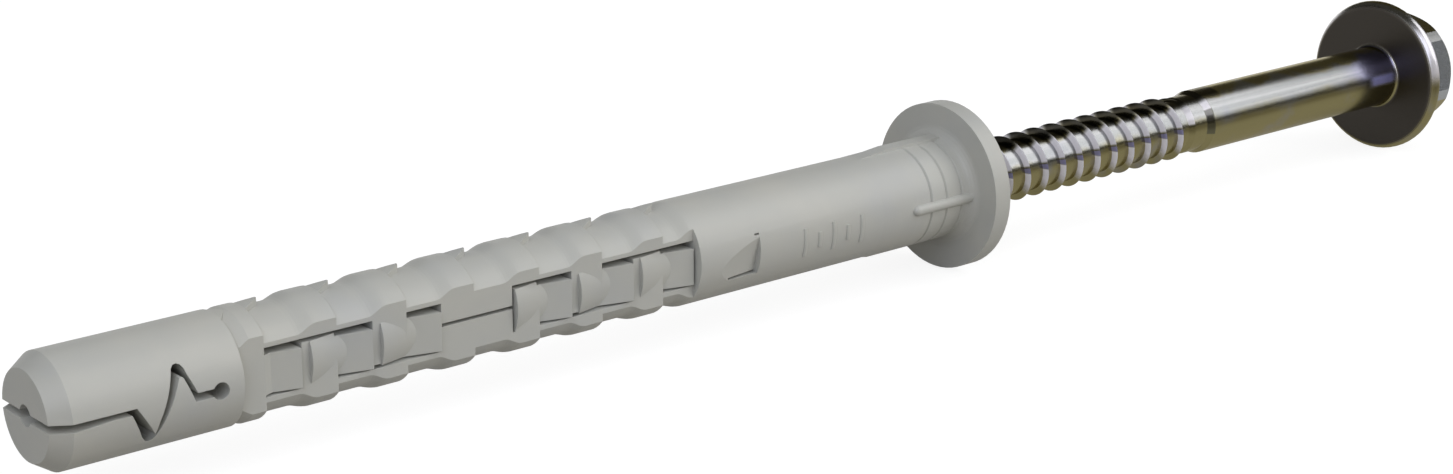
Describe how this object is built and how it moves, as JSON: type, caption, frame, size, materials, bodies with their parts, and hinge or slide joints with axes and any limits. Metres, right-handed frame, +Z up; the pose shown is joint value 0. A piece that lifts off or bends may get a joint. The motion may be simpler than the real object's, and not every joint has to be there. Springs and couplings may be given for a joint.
{
  "type": "frame fixing",
  "caption": "Long expansion sleeve with a collar and a slotted, toothed expansion zone, and a hexagon washer head screw that stands partly out of it, ready to be driven home.",
  "frame": {"origin": "on the common axis of sleeve and screw, in the plane of the collar's face that seats on the frame", "axes": "+X along the axis from the tip to the screw's head, -Y to one slotted flank, +Z up as in the picture"},
  "size_m": [0.1417, 0.0138, 0.0138],
  "materials": {
    "nylon": "light grey moulded nylon, satin",
    "zinc_steel": "bright zinc plated steel"
  },
  "bodies": {
    "root": {"sleeve": "nylon", "screw": "zinc_steel"}
  },
  "joints": []
}
